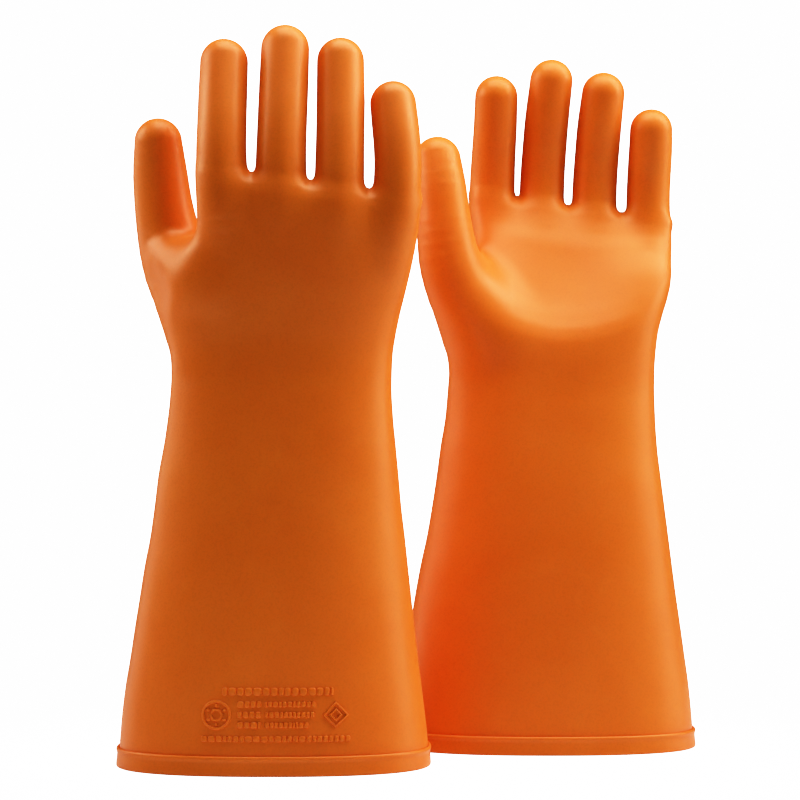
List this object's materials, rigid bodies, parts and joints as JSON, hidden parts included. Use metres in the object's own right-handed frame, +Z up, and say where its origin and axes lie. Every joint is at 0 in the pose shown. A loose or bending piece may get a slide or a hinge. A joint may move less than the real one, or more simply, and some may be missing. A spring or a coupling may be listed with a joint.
{
  "type": "electrical insulating gloves",
  "caption": "Moulded rubber insulating gloves for electrical work, with long flared cuffs, bead bands at the open ends and fingers, thumbs and wrists that bend.",
  "frame": {"origin": "on the floor, in the middle of the box around the standing pair", "axes": "+Z up from the cuffs to the fingertips, -Y towards the front, where the right-hand glove shows its back, +X from the right-hand glove to the left-hand glove"},
  "size_m": [0.3278, 0.1904, 0.4041],
  "materials": {
    "rubber_right": "satin moulded rubber",
    "band_right": "satin moulded rubber",
    "marking_right": "satin moulded rubber",
    "rubber_left": "satin moulded rubber",
    "band_left": "satin moulded rubber",
    "marking_left": "satin moulded rubber"
  },
  "bodies": {
    "right_cuff": {"right_gauntlet": "rubber_right", "right_cuff_band": "band_right", "right_marking": "marking_right"},
    "right_wrist_ring": {"right_wrist": "rubber_right"},
    "right_palm": {"right_hand": "rubber_right"},
    "right_thumb_base_body": {"right_thumb_base": "rubber_right"},
    "right_thumb_tip_body": {"right_thumb_tip": "rubber_right"},
    "right_index_base_body": {"right_index_base": "rubber_right"},
    "right_index_tip_body": {"right_index_tip": "rubber_right"},
    "right_middle_base_body": {"right_middle_base": "rubber_right"},
    "right_middle_tip_body": {"right_middle_tip": "rubber_right"},
    "right_ring_base_body": {"right_ring_base": "rubber_right"},
    "right_ring_tip_body": {"right_ring_tip": "rubber_right"},
    "right_little_base_body": {"right_little_base": "rubber_right"},
    "right_little_tip_body": {"right_little_tip": "rubber_right"},
    "left_cuff": {"left_gauntlet": "rubber_left", "left_cuff_band": "band_left", "left_marking": "marking_left"},
    "left_wrist_ring": {"left_wrist": "rubber_left"},
    "left_palm": {"left_hand": "rubber_left"},
    "left_thumb_base_body": {"left_thumb_base": "rubber_left"},
    "left_thumb_tip_body": {"left_thumb_tip": "rubber_left"},
    "left_index_base_body": {"left_index_base": "rubber_left"},
    "left_index_tip_body": {"left_index_tip": "rubber_left"},
    "left_middle_base_body": {"left_middle_base": "rubber_left"},
    "left_middle_tip_body": {"left_middle_tip": "rubber_left"},
    "left_ring_base_body": {"left_ring_base": "rubber_left"},
    "left_ring_tip_body": {"left_ring_tip": "rubber_left"},
    "left_little_base_body": {"left_little_base": "rubber_left"},
    "left_little_tip_body": {"left_little_tip": "rubber_left"}
  },
  "joints": [
    {"name": "right_wrist_back", "type": "hinge", "parent": "right_cuff", "child": "right_wrist_ring", "pos_m": [-0.0725, -0.0738, 0.19], "axis": [1, 0, 0], "range_deg": [0, 35], "stiffness_Nm_per_rad": 1},
    {"name": "right_wrist_fold", "type": "hinge", "parent": "right_wrist_ring", "child": "right_palm", "pos_m": [-0.072, -0.0154, 0.225], "axis": [-1, 0, 0], "range_deg": [0, 25], "stiffness_Nm_per_rad": 1},
    {"name": "right_thumb_swing", "type": "hinge", "parent": "right_palm", "child": "right_thumb_base_body", "pos_m": [-0.13745, -0.0198, 0.297], "axis": [-0.7859, 0, -0.6184], "range_deg": [0, 35], "stiffness_Nm_per_rad": 0.12},
    {"name": "right_thumb_curl", "type": "hinge", "parent": "right_thumb_base_body", "child": "right_thumb_tip_body", "pos_m": [-0.13568, -0.02203, 0.32973], "axis": [-0.9505, 0.3001, -0.0808], "range_deg": [0, 45], "stiffness_Nm_per_rad": 0.1},
    {"name": "right_index_root", "type": "hinge", "parent": "right_palm", "child": "right_index_base_body", "pos_m": [-0.10359, -0.04578, 0.329], "axis": [-1, 0, 0], "range_deg": [0, 60], "stiffness_Nm_per_rad": 0.1},
    {"name": "right_index_curl", "type": "hinge", "parent": "right_index_base_body", "child": "right_index_tip_body", "pos_m": [-0.1027, -0.04727, 0.364], "axis": [-1, 0, 0], "range_deg": [0, 65], "stiffness_Nm_per_rad": 0.1},
    {"name": "right_middle_root", "type": "hinge", "parent": "right_palm", "child": "right_middle_base_body", "pos_m": [-0.07223, -0.04555, 0.329], "axis": [-1, 0, 0], "range_deg": [0, 60], "stiffness_Nm_per_rad": 0.1},
    {"name": "right_middle_curl", "type": "hinge", "parent": "right_middle_base_body", "child": "right_middle_tip_body", "pos_m": [-0.0707, -0.04696, 0.368], "axis": [-1, 0, 0], "range_deg": [0, 65], "stiffness_Nm_per_rad": 0.1},
    {"name": "right_ring_root", "type": "hinge", "parent": "right_palm", "child": "right_ring_base_body", "pos_m": [-0.04075, -0.04578, 0.325], "axis": [-1, 0, 0], "range_deg": [0, 60], "stiffness_Nm_per_rad": 0.1},
    {"name": "right_ring_curl", "type": "hinge", "parent": "right_ring_base_body", "child": "right_ring_tip_body", "pos_m": [-0.0394, -0.0472, 0.361], "axis": [-1, 0, 0], "range_deg": [0, 65], "stiffness_Nm_per_rad": 0.1},
    {"name": "right_little_root", "type": "hinge", "parent": "right_palm", "child": "right_little_base_body", "pos_m": [-0.01042, -0.04613, 0.3215], "axis": [-1, 0, 0], "range_deg": [0, 60], "stiffness_Nm_per_rad": 0.1},
    {"name": "right_little_curl", "type": "hinge", "parent": "right_little_base_body", "child": "right_little_tip_body", "pos_m": [-0.0107, -0.04758, 0.35], "axis": [-1, 0, 0], "range_deg": [0, 60], "stiffness_Nm_per_rad": 0.1},
    {"name": "left_glove_slide", "type": "slide", "parent": "right_cuff", "child": "left_cuff", "axis": [1, 0, 0], "range_m": [0, 0.3]},
    {"name": "left_wrist_back", "type": "hinge", "parent": "left_cuff", "child": "left_wrist_ring", "pos_m": [0.0799, 0.0738, 0.19], "axis": [-1, 0, 0], "range_deg": [0, 35], "stiffness_Nm_per_rad": 1},
    {"name": "left_wrist_fold", "type": "hinge", "parent": "left_wrist_ring", "child": "left_palm", "pos_m": [0.0804, 0.0154, 0.225], "axis": [1, 0, 0], "range_deg": [0, 25], "stiffness_Nm_per_rad": 1},
    {"name": "left_thumb_swing", "type": "hinge", "parent": "left_palm", "child": "left_thumb_base_body", "pos_m": [0.01495, 0.0198, 0.297], "axis": [0.7859, 0, 0.6184], "range_deg": [0, 35], "stiffness_Nm_per_rad": 0.12},
    {"name": "left_thumb_curl", "type": "hinge", "parent": "left_thumb_base_body", "child": "left_thumb_tip_body", "pos_m": [0.01672, 0.02203, 0.32973], "axis": [0.9505, 0.3001, 0.0808], "range_deg": [0, 45], "stiffness_Nm_per_rad": 0.1},
    {"name": "left_index_root", "type": "hinge", "parent": "left_palm", "child": "left_index_base_body", "pos_m": [0.04881, 0.04578, 0.329], "axis": [1, 0, 0], "range_deg": [0, 60], "stiffness_Nm_per_rad": 0.1},
    {"name": "left_index_curl", "type": "hinge", "parent": "left_index_base_body", "child": "left_index_tip_body", "pos_m": [0.0497, 0.04727, 0.364], "axis": [1, 0, 0], "range_deg": [0, 65], "stiffness_Nm_per_rad": 0.1},
    {"name": "left_middle_root", "type": "hinge", "parent": "left_palm", "child": "left_middle_base_body", "pos_m": [0.08017, 0.04555, 0.329], "axis": [1, 0, 0], "range_deg": [0, 60], "stiffness_Nm_per_rad": 0.1},
    {"name": "left_middle_curl", "type": "hinge", "parent": "left_middle_base_body", "child": "left_middle_tip_body", "pos_m": [0.0817, 0.04696, 0.368], "axis": [1, 0, 0], "range_deg": [0, 65], "stiffness_Nm_per_rad": 0.1},
    {"name": "left_ring_root", "type": "hinge", "parent": "left_palm", "child": "left_ring_base_body", "pos_m": [0.11165, 0.04578, 0.325], "axis": [1, 0, 0], "range_deg": [0, 60], "stiffness_Nm_per_rad": 0.1},
    {"name": "left_ring_curl", "type": "hinge", "parent": "left_ring_base_body", "child": "left_ring_tip_body", "pos_m": [0.113, 0.0472, 0.361], "axis": [1, 0, 0], "range_deg": [0, 65], "stiffness_Nm_per_rad": 0.1},
    {"name": "left_little_root", "type": "hinge", "parent": "left_palm", "child": "left_little_base_body", "pos_m": [0.14199, 0.04613, 0.3215], "axis": [1, 0, 0], "range_deg": [0, 60], "stiffness_Nm_per_rad": 0.1},
    {"name": "left_little_curl", "type": "hinge", "parent": "left_little_base_body", "child": "left_little_tip_body", "pos_m": [0.1417, 0.04758, 0.35], "axis": [1, 0, 0], "range_deg": [0, 60], "stiffness_Nm_per_rad": 0.1}
  ]
}
